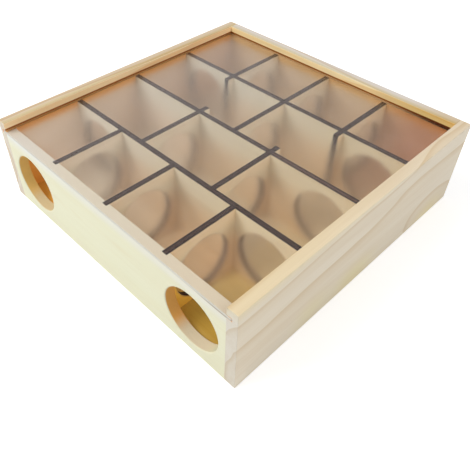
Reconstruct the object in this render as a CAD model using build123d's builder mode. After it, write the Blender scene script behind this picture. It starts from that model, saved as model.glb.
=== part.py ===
from build123d import *
import os

# Hamster house: a flat, square pine box. A lattice of plywood dividers splits it into thirteen
# chambers joined by round doors, and a clear sheet slides in grooves over the top.
# Millimetres. Origin: centre of the footprint, on the ground. +X right, +Y back, +Z up.
# The two entrances face -Y.

# ---- pine walls ----
box_width = 350.0
box_depth = 350.0
wall_height = 100.0
wall_thickness = 12.0
wall_edge_radius = 0.8
entrance_diameter = 65.0
entrance_inset = 2.5  # from the middle of the outer columns, towards the middle of the box
entrance_chamfer = 0.8

# ---- sliding cover and its groove ----
cover_thickness = 3.0
cover_corner_radius = 1.5
cover_running_gap = 0.2
cover_edge_play = 0.5
groove_floor_height = 87.5
groove_height = 4.0
groove_depth = 6.0

# ---- floor panel and its groove ----
floor_thickness = 4.0
floor_underside_height = 4.0
floor_groove_depth = 5.0
floor_play = 0.2

# ---- plywood dividers ----
divider_thickness = 6.0
dado_depth = 4.0
dado_stop = 6.0  # how far below the cover groove the dados of the side and back walls end
dado_side_play = 0.1
dado_end_play = 0.2
lap_side_play = 0.1
lap_stub = 9.0
door_diameter = 65.0
opening_sill = 3.0
second_row_offset = 52.0
rear_row_inset = 2.5  # from the columns of the front row, towards the middle of the box

# ---- corner dowels ----
dowel_diameter = 6.0
dowel_in_side_wall = 7.0
dowel_in_end_wall = 10.0
dowel_low_height = 20.0
dowel_high_height = 72.0

# ---- sizes that follow ----
through = 1.0  # how far a cutter stands out of the material it cuts
inner_width = box_width - 2 * wall_thickness
inner_depth = box_depth - 2 * wall_thickness
floor_top = floor_underside_height + floor_thickness
divider_height = groove_floor_height - floor_top
divider_mid_height = floor_top + divider_height / 2
dado_width = divider_thickness + 2 * dado_side_play
dado_reach = dado_depth - dado_end_play
stopped_dado_height = divider_height - dado_stop
shoulder_height = dado_stop + dado_end_play
lap_slot_width = divider_thickness + 2 * lap_side_play

# Four equal columns and four equal rows of chambers between the walls
column_pitch = (inner_width + divider_thickness) / 4
row_pitch = (inner_depth + divider_thickness) / 4
outer_column = 1.5 * column_pitch
entrance_offset = outer_column - entrance_inset
rear_row_offset = column_pitch - rear_row_inset
row_centres = [(row - 1.5) * row_pitch for row in range(4)]
side_wall_seat = inner_width / 2 + dado_reach
front_wall_seat = -inner_depth / 2 - dado_reach
back_wall_seat = inner_depth / 2 + dado_reach
door_centre_height = floor_top + opening_sill + door_diameter / 2
entrance_centre_height = floor_top + opening_sill + entrance_diameter / 2

dowel_row = (box_depth - wall_thickness) / 2
dowel_heights = (dowel_low_height, dowel_high_height)


def side_wall(side):
    """Full-length wall board. side is -1 for the left wall and 1 for the right wall."""
    inner_face = Plane.YZ.offset(side * inner_width / 2)
    groove_front = -box_depth / 2 - through
    groove_back = inner_depth / 2 + groove_depth
    with BuildPart() as wall:
        with BuildSketch(inner_face):
            with Locations((0, wall_height / 2)):
                Rectangle(box_depth, wall_height)
        extrude(amount=side * wall_thickness)
        # The ends stay sharp where the front and back walls meet them, so the joint is flush
        inner_uprights = wall.edges().filter_by(Axis.Z).sort_by(Axis.X, reverse=side < 0)[:2]
        fillet(wall.edges() - inner_uprights, wall_edge_radius)
        # Cover groove: open at the front end, stopped inside the corner with the back wall
        with BuildSketch(inner_face):
            with Locations(((groove_front + groove_back) / 2, groove_floor_height + groove_height / 2)):
                Rectangle(groove_back - groove_front, groove_height)
        extrude(amount=side * groove_depth, mode=Mode.SUBTRACT)
        # Floor groove: stopped at both ends, behind the front and back walls
        with BuildSketch(inner_face):
            with Locations((0, floor_underside_height + (floor_thickness + floor_play) / 2)):
                Rectangle(inner_depth + 2 * floor_groove_depth, floor_thickness + floor_play)
        extrude(amount=side * floor_groove_depth, mode=Mode.SUBTRACT)
        # Dados for the tongues of the three cross dividers, stopped below the cover groove
        with BuildSketch(inner_face):
            with Locations((0, floor_top + stopped_dado_height / 2)):
                with GridLocations(row_pitch, 0, 3, 1):
                    Rectangle(dado_width, stopped_dado_height)
        extrude(amount=side * dado_depth, mode=Mode.SUBTRACT)
        # Blind bores for the corner dowels
        with BuildSketch(inner_face):
            for height in dowel_heights:
                with Locations((-dowel_row, height), (dowel_row, height)):
                    Circle(dowel_diameter / 2)
        extrude(amount=side * dowel_in_side_wall, mode=Mode.SUBTRACT)
    return wall


def end_wall(end, height, dado_columns, dado_height):
    """Board between the side walls. end is -1 for the front wall and 1 for the back wall."""
    inner_face = Plane.XZ.offset(-end * inner_depth / 2)
    with BuildPart() as wall:
        with BuildSketch(inner_face):
            with Locations((0, height / 2)):
                Rectangle(inner_width, height)
        extrude(amount=-end * wall_thickness)
        fillet(wall.edges().filter_by(Axis.X), wall_edge_radius)
        # Floor groove, from end to end
        with BuildSketch(inner_face):
            with Locations((0, floor_underside_height + (floor_thickness + floor_play) / 2)):
                Rectangle(inner_width, floor_thickness + floor_play)
        extrude(amount=-end * floor_groove_depth, mode=Mode.SUBTRACT)
        # Dados for the dividers that run front to back
        with BuildSketch(inner_face):
            for column in dado_columns:
                with Locations((column, floor_top + dado_height / 2)):
                    Rectangle(dado_width, dado_height)
        extrude(amount=-end * dado_depth, mode=Mode.SUBTRACT)
        # Blind bores for the corner dowels, drilled into both end-grain faces
        for side in (-1, 1):
            with BuildSketch(Plane.YZ.offset(side * inner_width / 2)):
                for dowel_height in dowel_heights:
                    with Locations((end * dowel_row, dowel_height)):
                        Circle(dowel_diameter / 2)
            extrude(amount=-side * dowel_in_end_wall, mode=Mode.SUBTRACT)
    return wall


def cross_divider(row, lap_columns, door_columns):
    """Divider from side wall to side wall, with a shoulder over the tongue at each end.
    Its lap slots are open at the top."""
    slot_height = groove_floor_height + through - divider_mid_height
    with BuildPart() as divider:
        with BuildSketch(Plane.XZ.offset(-row)):
            with Locations((0, divider_mid_height)):
                Rectangle(inner_width + 2 * dado_reach, divider_height)
            for end in (-side_wall_seat, side_wall_seat):
                with Locations((end, groove_floor_height)):
                    Rectangle(2 * dado_depth, 2 * shoulder_height, mode=Mode.SUBTRACT)
            for column in lap_columns:
                with Locations((column, divider_mid_height + slot_height / 2)):
                    Rectangle(lap_slot_width, slot_height, mode=Mode.SUBTRACT)
            for column in door_columns:
                with Locations((column, door_centre_height)):
                    Circle(door_diameter / 2, mode=Mode.SUBTRACT)
        extrude(amount=divider_thickness / 2, both=True)
    return divider


def row_divider(column, front_end, rear_end, lap_rows, door_rows):
    """Divider from front_end to rear_end, with a shoulder over its tongue where it enters the
    back wall. Its lap slots are open at the bottom."""
    slot_height = divider_mid_height - floor_top + through
    with BuildPart() as divider:
        with BuildSketch(Plane.YZ.offset(column)):
            with Locations(((front_end + rear_end) / 2, divider_mid_height)):
                Rectangle(rear_end - front_end, divider_height)
            if rear_end == back_wall_seat:
                with Locations((rear_end, groove_floor_height)):
                    Rectangle(2 * dado_depth, 2 * shoulder_height, mode=Mode.SUBTRACT)
            for row in lap_rows:
                with Locations((row, divider_mid_height - slot_height / 2)):
                    Rectangle(lap_slot_width, slot_height, mode=Mode.SUBTRACT)
            for row in door_rows:
                with Locations((row, door_centre_height)):
                    Circle(door_diameter / 2, mode=Mode.SUBTRACT)
        extrude(amount=divider_thickness / 2, both=True)
    return divider


def finish(piece, name):
    """Label a finished piece and write its STEP file."""
    piece.part.label = name
    export_step(piece.part, f"parts/{name}.step")


# ---- pine walls ----
left_wall = side_wall(-1)
right_wall = side_wall(1)

with BuildPart() as front_wall:
    # Its dados are open at the top, and show there
    add(end_wall(-1, groove_floor_height, (-column_pitch, 0, column_pitch), divider_height).part)
    # Two round entrances with broken edges
    with BuildSketch(Plane.XZ.offset(inner_depth / 2)):
        with Locations((-entrance_offset, entrance_centre_height), (entrance_offset, entrance_centre_height)):
            Circle(entrance_diameter / 2)
    extrude(amount=wall_thickness, mode=Mode.SUBTRACT)
    entrance_rims = front_wall.edges().filter_by(
        lambda edge: edge.geom_type == GeomType.CIRCLE and abs(edge.radius - entrance_diameter / 2) < 0.01
    )
    chamfer(entrance_rims, entrance_chamfer)

with BuildPart() as back_wall:
    add(end_wall(1, wall_height, (-rear_row_offset, 0, rear_row_offset), stopped_dado_height).part)
    # Groove for the rear edge of the cover
    with BuildSketch(Plane.XZ.offset(-inner_depth / 2)):
        with Locations((0, groove_floor_height + groove_height / 2)):
            Rectangle(inner_width, groove_height)
    extrude(amount=-groove_depth, mode=Mode.SUBTRACT)

# ---- floor panel, let into all four walls ----
with BuildPart() as floor_panel:
    with BuildSketch(Plane.XY.offset(floor_underside_height)):
        floor_reach = floor_groove_depth - floor_play
        Rectangle(inner_width + 2 * floor_reach, inner_depth + 2 * floor_reach)
    extrude(amount=floor_thickness)

# ---- cross dividers ----
front_cross_divider = cross_divider(-row_pitch, (), (-outer_column, outer_column))
middle_cross_divider = cross_divider(0, (-second_row_offset, second_row_offset), (outer_column,))
rear_cross_divider = cross_divider(
    row_pitch, (-rear_row_offset, 0, rear_row_offset), (-outer_column, outer_column)
)

# ---- dividers that run front to back ----
half_divider = divider_thickness / 2


def front_divider(column):
    """Divider of the first row: front wall to front cross divider. Its door is at half its length."""
    rear_end = -row_pitch - half_divider
    return row_divider(column, front_wall_seat, rear_end, (), ((front_wall_seat + rear_end) / 2,))


def second_divider(column):
    """Divider of the second row, lapped over the middle cross divider with a short stub behind."""
    return row_divider(column, -row_pitch + half_divider, half_divider + lap_stub, (0,), row_centres[1:2])


def rear_divider(column):
    """Divider of the rear row, lapped over the rear cross divider with a short stub in front."""
    stub_end = row_pitch - half_divider - lap_stub
    return row_divider(column, stub_end, back_wall_seat, (row_pitch,), row_centres[3:])


front_divider_left = front_divider(-column_pitch)
front_divider_centre = front_divider(0)
front_divider_right = front_divider(column_pitch)
second_divider_left = second_divider(-second_row_offset)
second_divider_right = second_divider(second_row_offset)
centre_divider = row_divider(0, half_divider, back_wall_seat, (row_pitch,), row_centres[2:])
rear_divider_left = rear_divider(-rear_row_offset)
rear_divider_right = rear_divider(rear_row_offset)

# ---- clear sliding cover ----
with BuildPart() as sliding_cover:
    cover_reach = groove_depth - cover_edge_play
    cover_width = inner_width + 2 * cover_reach
    cover_length = wall_thickness + inner_depth + cover_reach
    cover_middle = (inner_depth / 2 + cover_reach - box_depth / 2) / 2
    with BuildSketch(Plane.XY.offset(groove_floor_height + cover_running_gap)):
        with Locations((0, cover_middle)):
            RectangleRounded(cover_width, cover_length, cover_corner_radius)
    extrude(amount=cover_thickness)

# ---- eight dowels, two in each corner joint ----
with BuildPart() as corner_dowels:
    for side in (-1, 1):
        with BuildSketch(Plane.YZ.offset(side * (inner_width / 2 - dowel_in_end_wall))):
            for dowel_height in dowel_heights:
                with Locations((-dowel_row, dowel_height), (dowel_row, dowel_height)):
                    Circle(dowel_diameter / 2)
        extrude(amount=side * (dowel_in_end_wall + dowel_in_side_wall))

os.makedirs("parts", exist_ok=True)
finish(left_wall, "left_wall")
finish(right_wall, "right_wall")
finish(front_wall, "front_wall")
finish(back_wall, "back_wall")
finish(floor_panel, "floor_panel")
finish(front_cross_divider, "front_cross_divider")
finish(middle_cross_divider, "middle_cross_divider")
finish(rear_cross_divider, "rear_cross_divider")
finish(front_divider_left, "front_divider_left")
finish(front_divider_centre, "front_divider_centre")
finish(front_divider_right, "front_divider_right")
finish(second_divider_left, "second_divider_left")
finish(second_divider_right, "second_divider_right")
finish(centre_divider, "centre_divider")
finish(rear_divider_left, "rear_divider_left")
finish(rear_divider_right, "rear_divider_right")
finish(sliding_cover, "sliding_cover")
finish(corner_dowels, "corner_dowels")
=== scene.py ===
import math

import bpy
from mathutils import Euler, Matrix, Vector

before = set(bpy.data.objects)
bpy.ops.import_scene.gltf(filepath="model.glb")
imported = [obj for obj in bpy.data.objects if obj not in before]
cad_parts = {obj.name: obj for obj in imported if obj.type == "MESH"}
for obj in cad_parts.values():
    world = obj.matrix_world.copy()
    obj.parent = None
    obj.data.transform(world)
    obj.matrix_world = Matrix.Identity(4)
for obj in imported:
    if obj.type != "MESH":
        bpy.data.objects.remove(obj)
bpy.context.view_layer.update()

MM = 0.001

# ---- sizes shared with the construction, in metres ----
WALL = 12 * MM
BOX_HALF = 175 * MM
INNER_HALF = BOX_HALF - WALL
PITCH = 83 * MM
OUTER_COLUMN = 1.5 * PITCH
REAR_ROW = 80.5 * MM
SECOND_ROW = 52 * MM
FRONT_DOOR_ROW = -126.4 * MM
ENTRANCE_COLUMN = 122 * MM
DOOR_RADIUS = 32.5 * MM
DOOR_HEIGHT = 43.5 * MM
DIVIDER_TOP = 87.5 * MM
FLOOR_MIDDLE = 6 * MM
GROOVE_TOP = 91.5 * MM
GROOVE_DEPTH = 6 * MM
X, Y, Z = 0, 1, 2

# Every shade below multiplies the colour under it
NO_SHADE = (1.0, 1.0, 1.0)


# ---- node helpers ----
class Tree:
    """A material's nodes, added and joined by plain calls. Sockets and numbers both work as inputs."""

    def __init__(self, name):
        self.material = bpy.data.materials.new(name)
        self.material.use_nodes = True
        self.nodes = self.material.node_tree.nodes
        self.nodes.clear()
        self.out = self.nodes.new("ShaderNodeOutputMaterial")
        self.coords = self.nodes.new("ShaderNodeTexCoord")

    def put(self, socket, value):
        if isinstance(value, bpy.types.NodeSocket):
            self.material.node_tree.links.new(value, socket)
        elif hasattr(socket.default_value, "__len__"):
            size = len(socket.default_value)
            value = (value,) * 3 if isinstance(value, (int, float)) else tuple(value)
            socket.default_value = (value + (1.0,))[:size] if size == 4 else value[:size]
        else:
            socket.default_value = value

    def node(self, kind, inputs=(), **settings):
        made = self.nodes.new(kind)
        for name, value in settings.items():
            setattr(made, name, value)
        for key, value in dict(inputs).items():
            self.put(made.inputs[key], value)
        return made

    def maths(self, operation, *values, clamp=False):
        made = self.node("ShaderNodeMath", enumerate(values), operation=operation, use_clamp=clamp)
        return made.outputs[0]

    def vector(self, operation, *values):
        return self.node("ShaderNodeVectorMath", enumerate(values), operation=operation).outputs[0]

    def axis(self, vector, axis):
        return self.node("ShaderNodeSeparateXYZ", {0: vector}).outputs[axis]

    def join(self, *values):
        return self.node("ShaderNodeCombineXYZ", enumerate(values)).outputs[0]

    def length(self, vector):
        return self.node("ShaderNodeVectorMath", {0: vector}, operation="LENGTH").outputs["Value"]

    def step(self, value, low, high, to_low=0.0, to_high=1.0):
        """Smooth step of a value from low to high."""
        made = self.node("ShaderNodeMapRange", {0: value, 1: low, 2: high, 3: to_low, 4: to_high},
                         interpolation_type="SMOOTHSTEP")
        return made.outputs[0]

    def noise(self, vector, scale=1.0, detail=2.0, roughness=0.5):
        made = self.node("ShaderNodeTexNoise", {"Vector": vector, "Scale": scale, "Detail": detail,
                                                "Roughness": roughness})
        return made.outputs[0]

    def mix(self, share, a, b, blend="MIX"):
        made = self.node("ShaderNodeMix", data_type="RGBA", blend_type=blend)
        self.put(made.inputs[0], share)
        self.put(made.inputs[6], a)
        self.put(made.inputs[7], b)
        return made.outputs[2]

    def principled(self, colour, roughness, height=None, depth=0.1 * MM, **plain):
        """The surface shader. plain holds the sockets whose value is the same everywhere."""
        shader = self.node("ShaderNodeBsdfPrincipled", {"Base Color": colour, "Roughness": roughness})
        for name, value in plain.items():
            self.put(shader.inputs[name.replace("_", " ")], value)
        if height is not None:
            bump = self.node("ShaderNodeBump", {"Height": height, "Distance": depth, "Strength": 1.0})
            self.put(shader.inputs["Normal"], bump.outputs[0])
        return shader.outputs[0]

    def finish(self, shader):
        self.put(self.out.inputs["Surface"], shader)
        return self.material


def dress(node, material):
    """Give a node of the frame its material."""
    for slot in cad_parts[node].material_slots:
        slot.material = material


# ---- pine ----
END_GRAIN_SHADE = (0.86, 0.90, 0.97)
TOP_SHADE = (0.98, 0.93, 0.87)
# Painted light, shade and bounced glow on the inner faces: lip, brim, chamber, foot and glow
LIP_PAINTED_LIGHT = ((1.22, 1.06, 0.82), (1.42, 1.26, 1.04))
LIP_PAINTED_SHADE = (0.80, 0.75, 0.53)
BRIM_PAINTED_GLOW = (1.15, 0.67, 0.29)
CHAMBER_PAINTED_SHADE = ((0.97, 0.88, 0.82), (0.97, 0.88, 0.82))
FOOT_PAINTED_GLOW = (1.04, 0.56, 0.16)
FOOT_SLOPE = 1.75
GLOW_PAINTED_SHADE = (0.82, 0.56, 0.48)
# Bores: warm tone partly painted glow, and a paler painted light on their foot
LEFT_BORE = ((1.08, 0.70, 0.28), (0.94, 0.84, 0.62))
RIGHT_BORE = ((1.06, 0.57, 0.20), (0.96, 0.94, 0.86))
FACE_EDGE = (1.0, 1.0, 1.20)
# Painted shadow of the gap under the sheet
GAP_PAINTED_SHADOW = (0.48, 0.40, 0.34)
# Painted warm light in the groove, and a painted shadow line on its upper rim, darkest towards the high end
GROOVE_PAINTED_LIGHT = (1.16, 0.92, 0.66)
RIM_PAINTED_SHADOW = (0.33, 0.105, 0.016)
GROOVE_PAINTED_DARK = (0.12, 0.028, 0.005)
DARKEST_FROM = (70 * MM, 150 * MM)
DARK_RISE = 0.5 * MM
GAP_FROM = (125 * MM, 150 * MM)
GAP_SHARES = (0.05, 0.8)
RIM_SHADOW_TOP = (GROOVE_TOP + 2.2 * MM, GROOVE_TOP + 1.5 * MM)
BRIM_HEIGHT = 13.0 * MM
UPPER_EDGE_HEIGHT = 14.0 * MM
RING_RIPPLE = 5.0 * MM
LATE_WOOD = (0.72, 0.975)
# Scales of the streaks along the grain and across it, and their detail
FIBRES = (15.0, 800.0, 4.0)
BANDS = (3.0, 55.0, 3.0)
DASHES = (90.0, 1500.0, 1.0)
GRAIN_RELIEF = 0.12 * MM
WOOD_IOR = 1.45


def pine_board(name, length, facing_in, pith, drifts, ring_gap, ring_shift, early, late, late_share, seed,
               bores=(), swirls=(), stains=(), groove=True, top_shade=TOP_SHADE, rim_shade=NO_SHADE,
               lip_shades=LIP_PAINTED_LIGHT, brim_shade=BRIM_PAINTED_GLOW, chamber_shades=CHAMBER_PAINTED_SHADE,
               foot=None, glow=None, shadowed_rim=False, dark_share=0.0):
    """Solid pine sawn from a log. length is the axis along the grain, and facing_in the way to the
    inside of the box across the board, 1 or -1. pith is the log's middle, across the board's
    thickness and up, and drifts say where it climbs along the board: (from, to, rise). Every face
    then shows its own cut through the same rings.

    swirls pull the rings aside round a spot: (along, up, reach, height, pull). stains tint one:
    (along, up, reach, height, shade). bores are round holes: (along, (shade, shade of its foot)),
    both partly painted light. A pair of shades runs from one end of the board to the other: lip is
    above the groove, brim just below it and chamber under that, painted light, glow and shade on the
    inner face. foot, (from, to), is where a painted orange glow of bounced light sets in at the foot,
    on a slant, and glow, (from, to), where painted warm shade reddens the inner face along the board.
    The last two arguments paint a brown shadow line on the groove's upper rim, and a share of
    darker painted shadow over it and the groove towards the board's high end."""
    t = Tree(name)
    place = t.coords.outputs["Object"]
    facing = t.coords.outputs["Normal"]
    across = X if length == Y else Y
    along, side, up = (t.axis(place, a) for a in (length, across, Z))

    # Rings round the pith, which climbs along the board
    rise = 0.0
    for start, end, climb in drifts:
        rise = t.maths("ADD", rise, t.step(along, start, end, 0.0, climb))
    ripple = t.noise(t.join(t.maths("MULTIPLY", along, 11.0), t.maths("MULTIPLY", side, 45.0),
                            t.maths("MULTIPLY", up, 45.0)), detail=2.0)
    from_pith = t.join(t.maths("SUBTRACT", side, pith[0]),
                       t.maths("SUBTRACT", t.maths("SUBTRACT", up, pith[1]), rise), 0.0)
    radius = t.length(from_pith)
    radius = t.maths("MULTIPLY_ADD", t.maths("SUBTRACT", ripple, 0.5), RING_RIPPLE, radius)

    def nearness(patch_along, patch_up, reach, height):
        offset = t.join(t.maths("DIVIDE", t.maths("SUBTRACT", along, patch_along), reach),
                        t.maths("DIVIDE", t.maths("SUBTRACT", up, patch_up), height), 0.0)
        return t.step(t.length(offset), 1.0, 0.0)

    for *patch, pull in swirls:
        radius = t.maths("MULTIPLY_ADD", nearness(*patch), -pull, radius)
    ring = t.maths("ADD", t.maths("DIVIDE", radius, ring_gap), ring_shift)
    within = t.maths("FRACT", ring)
    late_wood = t.maths("MULTIPLY", t.step(within, *LATE_WOOD), t.step(within, 1.0, LATE_WOOD[1]))
    spring_wood = t.step(within, 0.0, 0.75)
    each_ring = t.node("ShaderNodeTexWhiteNoise", {"W": t.maths("ADD", t.maths("FLOOR", ring), seed)},
                       noise_dimensions="1D").outputs[0]
    late_wood = t.maths("MULTIPLY", late_wood, t.step(each_ring, 0.0, 1.0, 0.6, 1.0))

    # Fibres, soft bands and short resin dashes run along the grain
    def streaks(along_scale, cross_scale, detail):
        stretched = t.join(t.maths("MULTIPLY", along, along_scale), t.maths("MULTIPLY", side, cross_scale),
                           t.maths("MULTIPLY", up, cross_scale))
        return t.noise(t.vector("ADD", stretched, (seed, seed, 0.0)), detail=detail, roughness=0.6)

    fibres = streaks(*FIBRES)
    bands = streaks(*BANDS)
    dashes = t.step(streaks(*DASHES), 0.70, 0.80)

    colour = t.mix(t.maths("MULTIPLY", late_wood, late_share), early, late)
    colour = t.mix(t.maths("MULTIPLY", spring_wood, 0.25 * late_share), colour, late)
    colour = t.mix(t.step(bands, 0.38, 0.72, 0.0, 0.30 * late_share + 0.04), colour, late)
    colour = t.mix(t.step(fibres, 0.35, 0.75, 0.0, 0.14), colour, tuple(0.85 * c for c in late))
    colour = t.mix(t.maths("MULTIPLY", dashes, 0.14), colour, tuple(0.5 * c for c in late))

    for *patch, shade in stains:
        colour = t.mix(nearness(*patch), colour, shade, blend="MULTIPLY")

    # The top takes its own tone on each board, goldener at its inner edge: partly the planed wood's
    # colour, partly painted light and shade. The inner face carries painted light, shade and bounced
    # glow, and the end grain is a little greyer
    depth_in = t.maths("MULTIPLY", side, -facing_in)
    top_on = t.step(t.axis(facing, Z), 0.6, 0.95)
    top = t.mix(t.step(depth_in, INNER_HALF + 8.0 * MM, INNER_HALF + 1.0 * MM), top_shade, rim_shade,
                blend="MULTIPLY")
    colour = t.mix(top_on, colour, top, blend="MULTIPLY")
    inward = t.step(t.maths("MULTIPLY", t.axis(facing, across), facing_in), 0.55, 0.95)
    chamber = t.mix(t.step(along, -INNER_HALF, INNER_HALF), *chamber_shades)
    if foot is not None:
        climb = t.maths("MULTIPLY_ADD", along, FOOT_SLOPE, up)
        chamber = t.mix(t.step(climb, *foot), chamber, FOOT_PAINTED_GLOW)
    chamber = t.mix(t.step(up, DIVIDER_TOP - BRIM_HEIGHT, DIVIDER_TOP - 1.0 * MM), chamber, brim_shade)
    lip = t.mix(t.step(along, -INNER_HALF, INNER_HALF), *lip_shades)
    if glow is not None:
        chamber = t.mix(t.step(along, *glow), chamber, GLOW_PAINTED_SHADE, blend="MULTIPLY")
        lip = t.mix(t.step(along, *glow), lip, LIP_PAINTED_SHADE, blend="MULTIPLY")
    inner_painted_light = t.mix(t.step(up, DIVIDER_TOP, GROOVE_TOP), chamber, lip)
    colour = t.mix(inward, colour, inner_painted_light, blend="MULTIPLY")
    end_on = t.step(t.maths("ABSOLUTE", t.axis(facing, length)), 0.55, 0.95)
    colour = t.mix(end_on, colour, END_GRAIN_SHADE, blend="MULTIPLY")

    # Painted warm light lifts the walls of the cover's groove, and a painted shadow line may darken its upper
    # rim, darker still towards the board's high end
    if groove:
        in_groove = t.maths("MULTIPLY", t.step(depth_in, INNER_HALF + 0.15 * MM, INNER_HALF + 0.5 * MM),
                            t.step(depth_in, INNER_HALF + GROOVE_DEPTH + 0.4 * MM,
                                   INNER_HALF + GROOVE_DEPTH + 0.1 * MM))
        in_groove = t.maths("MULTIPLY", in_groove, t.step(up, DIVIDER_TOP - 0.3 * MM, DIVIDER_TOP - 0.1 * MM))
        in_groove = t.maths("MULTIPLY", in_groove, t.step(up, GROOVE_TOP + 0.3 * MM, GROOVE_TOP + 0.1 * MM))
        in_groove = t.maths("MULTIPLY", in_groove, t.maths("SUBTRACT", 1.0, end_on))
        colour = t.mix(in_groove, colour, GROOVE_PAINTED_LIGHT, blend="MULTIPLY")
        if shadowed_rim:
            darkening = t.step(along, *DARKEST_FROM, 0.0, dark_share)
            above_rim = t.maths("MULTIPLY_ADD", darkening, -DARK_RISE, up)
            rim = t.maths("MULTIPLY", inward, t.step(above_rim, *RIM_SHADOW_TOP))
            rim = t.maths("MULTIPLY", rim, t.step(up, GROOVE_TOP - 0.2 * MM, GROOVE_TOP))
            rim = t.maths("MAXIMUM", rim, t.maths("MULTIPLY", in_groove, darkening))
            colour = t.mix(rim, colour, t.mix(darkening, RIM_PAINTED_SHADOW, GROOVE_PAINTED_DARK))

    # Bored holes are warmer than the planed faces, partly their own fresh colour and partly painted glow from
    # the inside, and their foot gets a paler painted light where light falls on it
    bore_lit_foot = t.step(t.maths("MULTIPLY_ADD", t.axis(facing, length), -0.5, t.axis(facing, Z)), 0.25, 0.8)
    for column, (shade, foot_shade) in bores:
        from_bore = t.join(t.maths("SUBTRACT", along, column), t.maths("SUBTRACT", up, DOOR_HEIGHT), 0.0)
        in_bore = t.maths("MULTIPLY",
                          t.step(t.length(from_bore), DOOR_RADIUS + 1.2 * MM, DOOR_RADIUS + 0.9 * MM),
                          t.step(depth_in, BOX_HALF - 0.5 * MM, BOX_HALF - 1.1 * MM))
        colour = t.mix(in_bore, colour, t.mix(bore_lit_foot, shade, foot_shade), blend="MULTIPLY")

    # A low board turns bluer along its upper outer edge, and a painted shadow of the gap under the sheet
    # darkens that edge towards its end
    if not groove:
        outward = t.step(t.maths("MULTIPLY", t.axis(facing, across), -facing_in), 0.1, 0.6)
        upper_edge = t.maths("MULTIPLY", outward, t.step(up, DIVIDER_TOP - UPPER_EDGE_HEIGHT, DIVIDER_TOP))
        colour = t.mix(upper_edge, colour, FACE_EDGE, blend="MULTIPLY")
        gap = t.maths("MULTIPLY", outward, t.step(up, DIVIDER_TOP - 0.9 * MM, DIVIDER_TOP - 0.5 * MM))
        gap = t.maths("MULTIPLY", gap, t.step(along, *GAP_FROM, *GAP_SHARES))
        colour = t.mix(gap, colour, GAP_PAINTED_SHADOW, blend="MULTIPLY")

    roughness = t.maths("MULTIPLY_ADD", fibres, 0.22, 0.46)
    height = t.maths("ADD", t.maths("MULTIPLY", fibres, 0.6), t.maths("MULTIPLY", late_wood, 0.5))
    return t.finish(t.principled(colour, roughness, height, GRAIN_RELIEF, IOR=WOOD_IOR))


dress("right_wall", pine_board(
    "pine_right", Y, -1, (268 * MM, 7.2 * MM),
    ((-170 * MM, 30 * MM, 10 * MM), (0.0, 85 * MM, 16 * MM), (85 * MM, 175 * MM, -3 * MM)),
    17.8 * MM, 0.08, (0.84, 0.755, 0.61), (0.66, 0.50, 0.30), 0.62, seed=3.0,
    swirls=((134 * MM, 0.0, 88 * MM, 53 * MM, 24 * MM), (60 * MM, 106 * MM, 75 * MM, 26 * MM, -10 * MM)),
    stains=((-10 * MM, 10 * MM, 55 * MM, 32 * MM, (1.0, 0.99, 0.78)),
            (-75 * MM, 15 * MM, 40 * MM, 30 * MM, (1.0, 1.0, 0.86)),
            (134 * MM, 0.0, 44 * MM, 34 * MM, (1.04, 1.02, 0.82)),
            (-175 * MM, 102 * MM, 320 * MM, 14 * MM, (1.02, 1.0, 0.88)))))
dress("left_wall", pine_board(
    "pine_left", Y, 1, (-240 * MM, 45 * MM), ((-160 * MM, 160 * MM, 14 * MM),),
    15.0 * MM, 0.1, (0.86, 0.76, 0.60), (0.68, 0.46, 0.24), 0.75, seed=11.0,
    top_shade=(0.84, 0.79, 0.74), rim_shade=(0.95, 0.92, 0.70),
    chamber_shades=((1.08, 1.06, 1.10), (0.95, 0.80, 0.73)), foot=(-204 * MM, -216 * MM),
    # This stain is painted light: it lifts the low inside of the wall near the front
    stains=((-105 * MM, 12 * MM, 65 * MM, 40 * MM, (1.22, 1.26, 1.36)),), shadowed_rim=True))
dress("front_wall", pine_board(
    "pine_front", X, 1, (-300 * MM, 62 * MM), ((-150 * MM, 120 * MM, -16 * MM),),
    26 * MM, 0.2, (0.80, 0.795, 0.59), (0.74, 0.67, 0.43), 0.5, seed=23.0,
    bores=((-ENTRANCE_COLUMN, LEFT_BORE), (ENTRANCE_COLUMN, RIGHT_BORE)), groove=False,
    top_shade=(0.94, 0.855, 0.91),
    stains=((-150 * MM, 88 * MM, 110 * MM, 3 * MM, (1.02, 1.05, 1.16)),
            (130 * MM, 88 * MM, 110 * MM, 3 * MM, (1.0, 0.96, 0.91)))))
dress("back_wall", pine_board(
    "pine_back", X, -1, (225 * MM, 60 * MM), ((-100 * MM, 150 * MM, 20 * MM),),
    15.0 * MM, 0.6, (0.85, 0.77, 0.61), (0.68, 0.47, 0.22), 0.7, seed=37.0,
    top_shade=(0.90, 0.94, 1.12), rim_shade=(0.94, 0.90, 0.68),
    lip_shades=((1.20, 1.09, 0.78), (1.32, 1.26, 1.04)), brim_shade=(1.0, 0.74, 0.46),
    stains=((175 * MM, 100 * MM, 90 * MM, 4 * MM, (0.92, 0.80, 0.60)),),
    glow=(50 * MM, 130 * MM), shadowed_rim=True, dark_share=1.0))


# ---- laser-cut plywood ----
PLY_FACE = (0.84, 0.805, 0.68)
PLY_STREAK = (0.70, 0.62, 0.47)
# Painted warm light towards the right of the box
PLY_PAINTED_WARMTH = (1.04, 0.97, 0.80)
FLOOR_FACE = (0.80, 0.69, 0.52)
FLOOR_STREAK = (0.66, 0.53, 0.38)
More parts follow.
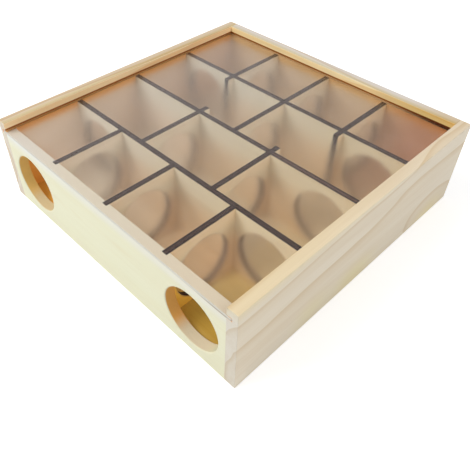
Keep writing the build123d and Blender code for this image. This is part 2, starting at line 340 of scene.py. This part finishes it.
# Painted light and shade of the floor under each row of chambers: (where the row starts, its shade,
# and for each column that differs (where it starts, its shade))
FLOOR_PAINTED_ROWS = (
    (-INNER_HALF, (1.06, 1.10, 1.16), ((-PITCH, (1.05, 1.02, 1.02)), (0.0, (1.0, 0.90, 0.82)),
                                       (PITCH, (1.0, 0.90, 0.50)))),
    (-PITCH, (0.95, 0.96, 0.97), ((PITCH, (1.08, 1.08, 0.98)),)),
    (0.0, NO_SHADE, ()),
    (PITCH, NO_SHADE, ((REAR_ROW, (0.92, 0.82, 0.80)),)))
ROW_BLUR = 10.0 * MM
# Painted warm shade low on the plates, painted light high on faces turned right, and a painted orange glow
# behind the entrances
LOW_PAINTED_SHADES = ((1.06, 0.94, 0.90), (1.02, 0.88, 0.78))
LOW_SHADES_FROM = (-120 * MM, -20 * MM)
PAINTED_SHADE_BELOW = (76 * MM, 42 * MM)
HIGH_PAINTED_LIGHT = (1.18, 1.10, 1.05)
PAINTED_LIGHT_ABOVE = (66 * MM, 80 * MM)
THRESHOLD_PAINTED_GLOW = (1.24, 1.05, 0.32)
THRESHOLD_ROWS = (-125 * MM, -140 * MM)
THRESHOLD_BELOW = (50 * MM, 38 * MM)
DOORSTEP_PAINTED_LEFT = (0.94, 0.52, 0.12)
DOORSTEP_PAINTED_RIGHT = (0.72, 0.64, 0.33)
BURNT = (0.020, 0.009, 0.007)
BURNT_CORE = (0.082, 0.040, 0.028)
BURNT_RIM = (0.22, 0.15, 0.11)
SCORCHED_CORE = (0.20, 0.11, 0.08)
SMOKE = (0.40, 0.26, 0.16)
SMOKE_ABOVE = 1.6 * MM
SMOKE_ROUND_DOORS = 2.2 * MM
LIGHTER_RIMS_FROM = (0.0, 180 * MM)
SILL_ROWS = (-114 * MM, -122 * MM)
SILL_BELOW = (34 * MM, 26 * MM)
PLY_RELIEF = 0.08 * MM


def plywood(name, through, middle, seed, doors=(), face=PLY_FACE, streak=PLY_STREAK, scorched=None):
    """Plywood plate. through is the axis of its thickness and middle where its core lies on it.
    The laser leaves cut edges dark, the core a shade lighter, and a trace of smoke beside them.
    scorched holds the places, (from, to), between which the core turns from black to brown."""
    t = Tree(name)
    place = t.coords.outputs["Object"]
    facing = t.coords.outputs["Normal"]
    length = X if through != X else Y
    across = Y if through == Z else Z
    along, side, depth = t.axis(place, length), t.axis(place, across), t.axis(place, through)
    layer = t.step(depth, middle - 1.0 * MM, middle + 1.0 * MM, 0.0, 5.0)

    grain_place = t.join(t.maths("MULTIPLY", along, 7.0), t.maths("MULTIPLY", side, 120.0),
                         t.maths("ADD", layer, seed))
    grain = t.noise(grain_place, detail=4.0, roughness=0.6)
    fine_place = t.join(t.maths("MULTIPLY", along, 40.0), t.maths("MULTIPLY", side, 1400.0),
                        t.maths("ADD", layer, seed))
    fine = t.noise(fine_place, detail=3.0, roughness=0.6)
    colour = t.mix(t.step(grain, 0.35, 0.75, 0.0, 0.5), face, streak)
    colour = t.mix(t.step(fine, 0.35, 0.75, 0.0, 0.25), colour, tuple(0.8 * c for c in streak))

    def beyond(axis, start):
        return t.step(t.axis(place, axis), start - ROW_BLUR, start + ROW_BLUR)

    # Painted warm light: sheets turn yellower towards the right of the box, and the floor gets painted light
    # and shade cell by cell
    yellow = t.step(t.axis(place, X), -INNER_HALF, INNER_HALF)
    colour = t.mix(yellow, colour, PLY_PAINTED_WARMTH, blend="MULTIPLY")
    if through == Z:
        floor_shade = NO_SHADE
        for row_start, row_shade, columns in FLOOR_PAINTED_ROWS:
            for column_start, shade in columns:
                row_shade = t.mix(beyond(X, column_start), row_shade, shade)
            floor_shade = t.mix(beyond(Y, row_start), floor_shade, row_shade)
        colour = t.mix(1.0, colour, floor_shade, blend="MULTIPLY")

    # Painted warm shade deepens the plates towards their foot, painted light brightens the upper faces turned
    # to the right, and a painted orange glow lies behind the entrances
    up = t.axis(place, Z)
    if through != Z:
        low_shade = t.mix(t.step(t.axis(place, X), *LOW_SHADES_FROM), *LOW_PAINTED_SHADES)
        colour = t.mix(t.step(up, *PAINTED_SHADE_BELOW), colour, low_shade, blend="MULTIPLY")
        painted_light_top = t.maths("MULTIPLY", t.step(t.axis(facing, X), 0.6, 0.9), t.step(up, *PAINTED_LIGHT_ABOVE))
        colour = t.mix(painted_light_top, colour, HIGH_PAINTED_LIGHT, blend="MULTIPLY")
    threshold = t.maths("MULTIPLY", t.step(t.axis(place, Y), *THRESHOLD_ROWS), t.step(up, *THRESHOLD_BELOW))
    threshold_shade = THRESHOLD_PAINTED_GLOW
    if through == Z:
        threshold_shade = t.mix(t.step(t.axis(place, X), 0.0, PITCH), DOORSTEP_PAINTED_LEFT, DOORSTEP_PAINTED_RIGHT)
    colour = t.mix(threshold, colour, threshold_shade, blend="MULTIPLY")

    # Smoke beside the cuts
    soot = t.step(side, DIVIDER_TOP - SMOKE_ABOVE, DIVIDER_TOP) if through != Z else 0.0
    for row in doors:
        reach = t.length(t.join(t.maths("SUBTRACT", along, row), t.maths("SUBTRACT", side, DOOR_HEIGHT), 0.0))
        soot = t.maths("MAXIMUM", soot, t.step(reach, DOOR_RADIUS + SMOKE_ROUND_DOORS, DOOR_RADIUS))
    patchy = t.step(t.noise(place, 90.0, detail=3.0), 0.3, 0.7, 0.25, 0.75)
    colour = t.mix(t.maths("MULTIPLY", soot, patchy), colour, SMOKE)

    # Burnt edges
    on_edge = t.step(t.maths("ABSOLUTE", t.axis(facing, through)), 0.7, 0.4)
    from_core = t.maths("ABSOLUTE", t.maths("SUBTRACT", depth, middle))
    core = t.step(from_core, 1.3 * MM, 0.7 * MM)
    inner_char = BURNT_CORE
    if scorched is not None:
        inner_char = t.mix(t.step(along, *scorched), BURNT_CORE, SCORCHED_CORE)
    darkening = t.mix(t.maths("MULTIPLY", core, 0.8), BURNT, inner_char)
    speckle = t.noise(place, 700.0, detail=4.0, roughness=0.7)
    darkening = t.mix(t.step(speckle, 0.35, 0.75, 0.0, 0.5), darkening, tuple(2.0 * c for c in BURNT))
    # The doors' rims are lighter towards the front right where they face up or sideways, but not on
    # their soffit nor on the sill right behind the entrances
    front_right = t.maths("SUBTRACT", t.axis(place, X), t.axis(place, Y))
    sill = t.maths("MULTIPLY", t.step(t.axis(place, Y), *SILL_ROWS), t.step(up, *SILL_BELOW))
    lighter = t.maths("MULTIPLY", t.step(front_right, *LIGHTER_RIMS_FROM), t.step(t.axis(facing, Z), -0.5, 0.0))
    lighter = t.maths("MULTIPLY", lighter, t.maths("SUBTRACT", 1.0, sill))
    lighter = t.maths("MULTIPLY", lighter, t.step(up, DIVIDER_TOP - 2.0 * MM, DIVIDER_TOP - 6.0 * MM))
    darkening = t.mix(lighter, darkening, BURNT_RIM)
    colour = t.mix(on_edge, colour, darkening)

    roughness = t.maths("MULTIPLY_ADD", fine, 0.2, 0.6)
    height = t.mix(on_edge, fine, speckle)
    return t.finish(t.principled(colour, roughness, height, PLY_RELIEF, IOR=WOOD_IOR, Specular_IOR_Level=0.2))


SCORCHED = {"middle_cross_divider": (30 * MM, 62 * MM), "rear_cross_divider": (60 * MM, 300 * MM)}
CROSS = {
    "front_cross_divider": (-PITCH, (-OUTER_COLUMN, OUTER_COLUMN)),
    "middle_cross_divider": (0.0, (OUTER_COLUMN,)),
    "rear_cross_divider": (PITCH, (-OUTER_COLUMN, OUTER_COLUMN)),
}
LENGTHWISE = {
    "front_divider_left": (-PITCH, (FRONT_DOOR_ROW,)),
    "front_divider_centre": (0.0, (FRONT_DOOR_ROW,)),
    "front_divider_right": (PITCH, (FRONT_DOOR_ROW,)),
    "second_divider_left": (-SECOND_ROW, (-PITCH / 2,)),
    "second_divider_right": (SECOND_ROW, (-PITCH / 2,)),
    "centre_divider": (0.0, (PITCH / 2, OUTER_COLUMN)),
    "rear_divider_left": (-REAR_ROW, (OUTER_COLUMN,)),
    "rear_divider_right": (REAR_ROW, (OUTER_COLUMN,)),
}
for through, plates in ((Y, CROSS), (X, LENGTHWISE)):
    for number, (node, (middle, doors)) in enumerate(plates.items()):
        dress(node, plywood("ply_" + node, through, middle, 3.7 * number + 11.0 * through, doors,
                            scorched=SCORCHED.get(node)))
dress("floor_panel", plywood("ply_floor", Z, FLOOR_MIDDLE, 71.0, face=FLOOR_FACE, streak=FLOOR_STREAK))


# ---- turned beech, for the hidden dowels ----
BEECH = (0.62, 0.44, 0.27)
BEECH_FLECK = (0.42, 0.26, 0.14)


def beech(name):
    t = Tree(name)
    flecks = t.noise(t.vector("MULTIPLY", t.coords.outputs["Object"], (60.0, 900.0, 900.0)), detail=3.0)
    colour = t.mix(t.step(flecks, 0.4, 0.7), BEECH, BEECH_FLECK)
    roughness = t.maths("MULTIPLY_ADD", flecks, 0.2, 0.4)
    return t.finish(t.principled(colour, roughness, flecks, 0.05 * MM, IOR=WOOD_IOR))


dress("corner_dowels", beech("beech_dowel"))


# ---- clear sheet ----
SHEET_BOTTOM = 87.7 * MM
SHEET_MIDDLE = 89.2 * MM
SHEET_TINT = (1.0, 0.99, 0.985)
SHEET_PASSES = (0.97, 0.965, 0.96)
SHEET_GLOSS = (0.04, 0.25)
SHEET_FROST = (0.21, 0.255)
SAWN_FRONT = (0.65, 0.63, 0.55)
# Painted warm glow in the colour of the sheet's edges in the grooves
EDGE_PAINTED_GLOW = (0.92, 0.74, 0.56)
SHADOW_LINE = (0.30, 0.24, 0.19)
SHADOW_LINE_FROM = 100 * MM
DULLER_FROM = (-300 * MM, 0.0)
ACRYLIC_IOR = 1.49


def acrylic(name):
    """Acrylic sheet, frosted below and duller towards its back left: what touches it looks sharp,
    and what lies deeper sinks into haze. Rays from lamps and from the wood below pass
    straight through it."""
    t = Tree(name)
    place = t.coords.outputs["Object"]
    facing = t.coords.outputs["Normal"]
    path = t.node("ShaderNodeLightPath").outputs
    patches = t.noise(place, 25.0, detail=3.0)
    back_left = t.maths("SUBTRACT", t.axis(place, Y), t.axis(place, X))
    gloss, frost = (t.step(back_left, *DULLER_FROM, *ends) for ends in (SHEET_GLOSS, SHEET_FROST))
    frosted = t.step(t.axis(place, Z), SHEET_MIDDLE + 0.1 * MM, SHEET_MIDDLE - 0.1 * MM, gloss, frost)
    roughness = t.maths("MULTIPLY_ADD", patches, 0.02, frosted)
    pane = t.principled(SHEET_TINT, roughness, IOR=ACRYLIC_IOR, Transmission_Weight=1.0)
    saw_marks = t.noise(t.vector("MULTIPLY", place, (900.0, 900.0, 60.0)), detail=3.0)
    line = t.maths("MULTIPLY", t.step(t.axis(place, Z), SHEET_BOTTOM + 0.7 * MM, SHEET_BOTTOM + 0.3 * MM),
                   t.step(t.axis(place, X), SHADOW_LINE_FROM, INNER_HALF))
    # The edges in the grooves carry a painted warm glow in their colour, the front edge a duller tone
    edge = t.mix(t.step(t.axis(facing, Y), -0.7, -0.5), SAWN_FRONT, EDGE_PAINTED_GLOW)
    sawn = t.principled(t.mix(line, edge, SHADOW_LINE), t.maths("MULTIPLY_ADD", saw_marks, 0.2, 0.5),
                        saw_marks, 0.1 * MM, IOR=ACRYLIC_IOR)
    on_edge = t.step(t.maths("ABSOLUTE", t.axis(facing, Z)), 0.7, 0.5)
    sheet = t.node("ShaderNodeMixShader", {0: on_edge, 1: pane, 2: sawn}).outputs[0]
    straight = t.node("ShaderNodeBsdfTransparent", {"Color": SHEET_PASSES}).outputs[0]
    inner = t.node("ShaderNodeMixShader", {0: path["Is Diffuse Ray"], 1: sheet, 2: straight}).outputs[0]
    outer = t.node("ShaderNodeMixShader", {0: path["Is Shadow Ray"], 1: inner, 2: straight}).outputs[0]
    return t.finish(outer)


dress("sliding_cover", acrylic("hazy_acrylic"))


# ---- stage ----
FLOOR_REACH = 6.0
FLOOR_BELOW = 0.2 * MM
FLOOR_COLOUR = (0.80, 0.80, 0.80)
FLOOR_GLOW_NEAR = 0.46
FLOOR_GLOW_FAR = 0.60


def white_floor():
    t = Tree("studio_floor")
    path = t.node("ShaderNodeLightPath").outputs
    seen = t.maths("MAXIMUM", path["Is Camera Ray"], t.maths("MAXIMUM", path["Is Glossy Ray"],
                                                           path["Is Transmission Ray"]))
    paper = t.node("ShaderNodeBsdfDiffuse", {"Color": FLOOR_COLOUR}).outputs[0]
    level = t.step(t.length(t.coords.outputs["Object"]), 1.0, 3.0, FLOOR_GLOW_NEAR, FLOOR_GLOW_FAR)
    glow = t.node("ShaderNodeEmission", {"Color": 1.0, "Strength": t.maths("MULTIPLY", seen, level)})
    both = t.node("ShaderNodeAddShader", {0: paper, 1: glow.outputs[0]}).outputs[0]
    return t.finish(both)


corners = [(-FLOOR_REACH, -FLOOR_REACH), (FLOOR_REACH, -FLOOR_REACH), (FLOOR_REACH, FLOOR_REACH),
           (-FLOOR_REACH, FLOOR_REACH)]
floor_mesh = bpy.data.meshes.new("studio_floor")
floor_mesh.from_pydata([(x, y, -FLOOR_BELOW) for x, y in corners], [], [(0, 1, 2, 3)])
floor_mesh.materials.append(white_floor())
floor = bpy.data.objects.new("studio_floor", floor_mesh)
bpy.context.scene.collection.objects.link(floor)

# ---- world: white where it is seen, a soft light, and brighter to the left where it is mirrored ----
WORLD_LIGHT = 0.528
MIRRORED_RIGHT = 0.016
MIRRORED_LEFT = 0.736
BRIGHT_SIDE = (-0.8, 0.35, 0.0)
BRIGHT_FROM = (0.61, 0.75)


def studio_world():
    world = bpy.data.worlds.new("studio")
    world.use_nodes = True
    nodes, links = world.node_tree.nodes, world.node_tree.links
    nodes.clear()
    path = nodes.new("ShaderNodeLightPath").outputs

    def strength(share, low, high, to_low, to_high):
        made = nodes.new("ShaderNodeMapRange")
        for number, value in enumerate((share, low, high, to_low, to_high)):
            if isinstance(value, bpy.types.NodeSocket):
                links.new(value, made.inputs[number])
            else:
                made.inputs[number].default_value = value
        return made.outputs[0]

    leftward = nodes.new("ShaderNodeVectorMath")
    leftward.operation = "DOT_PRODUCT"
    links.new(nodes.new("ShaderNodeTexCoord").outputs["Generated"], leftward.inputs[0])
    leftward.inputs[1].default_value = BRIGHT_SIDE
    mirrored = strength(leftward.outputs["Value"], *BRIGHT_FROM, MIRRORED_RIGHT, MIRRORED_LEFT)
    level = strength(path["Is Glossy Ray"], 0.0, 1.0, WORLD_LIGHT, mirrored)
    level = strength(path["Is Camera Ray"], 0.0, 1.0, level, 1.0)
    level = strength(path["Is Transmission Ray"], 0.0, 1.0, level, 1.0)
    background = nodes.new("ShaderNodeBackground")
    background.inputs["Color"].default_value = (1.0, 1.0, 1.0, 1.0)
    links.new(level, background.inputs["Strength"])
    links.new(background.outputs[0], nodes.new("ShaderNodeOutputWorld").inputs["Surface"])
    return world


bpy.context.scene.world = studio_world()

# ---- lamps: where, how wide and how strong ----
KEY_LIGHT = ((-1.1, -1.5, 1.9), 1.4, 41.0)
FILL_LIGHT = ((1.7, 0.3, 1.5), 1.6, 11.5)


def soft_light(name, at, size, watts):
    """Square area lamp aimed at the middle of the box. The clear sheet doesn't mirror it."""
    data = bpy.data.lights.new(name, "AREA")
    data.size = size
    data.energy = watts
    lamp = bpy.data.objects.new(name, data)
    lamp.location = at
    lamp.visible_glossy = lamp.visible_transmission = False
    lamp.rotation_euler = Vector(at).to_track_quat("Z", "Y").to_euler()
    bpy.context.scene.collection.objects.link(lamp)


soft_light("key_light", *KEY_LIGHT)
soft_light("fill_light", *FILL_LIGHT)

# ---- camera, from the photograph's viewing angle ----
CAMERA_AT = (0.3272, -0.3503, 0.4178)
CAMERA_TURN = (47.090, -0.135, 45.871)
CAMERA_LENS = 41.593
CAMERA_SHIFT = (0.0494, -0.0509)
SENSOR_WIDTH = 36.0
NEAREST = 0.01
lens = bpy.data.cameras.new("camera")
lens.sensor_width = SENSOR_WIDTH
lens.lens = CAMERA_LENS
lens.shift_x, lens.shift_y = CAMERA_SHIFT
lens.clip_start = NEAREST
camera = bpy.data.objects.new("camera", lens)
camera.location = CAMERA_AT
camera.rotation_euler = Euler([math.radians(turn) for turn in CAMERA_TURN], "XYZ")
bpy.context.scene.collection.objects.link(camera)
bpy.context.scene.camera = camera

bpy.context.scene.view_settings.view_transform = "Standard"
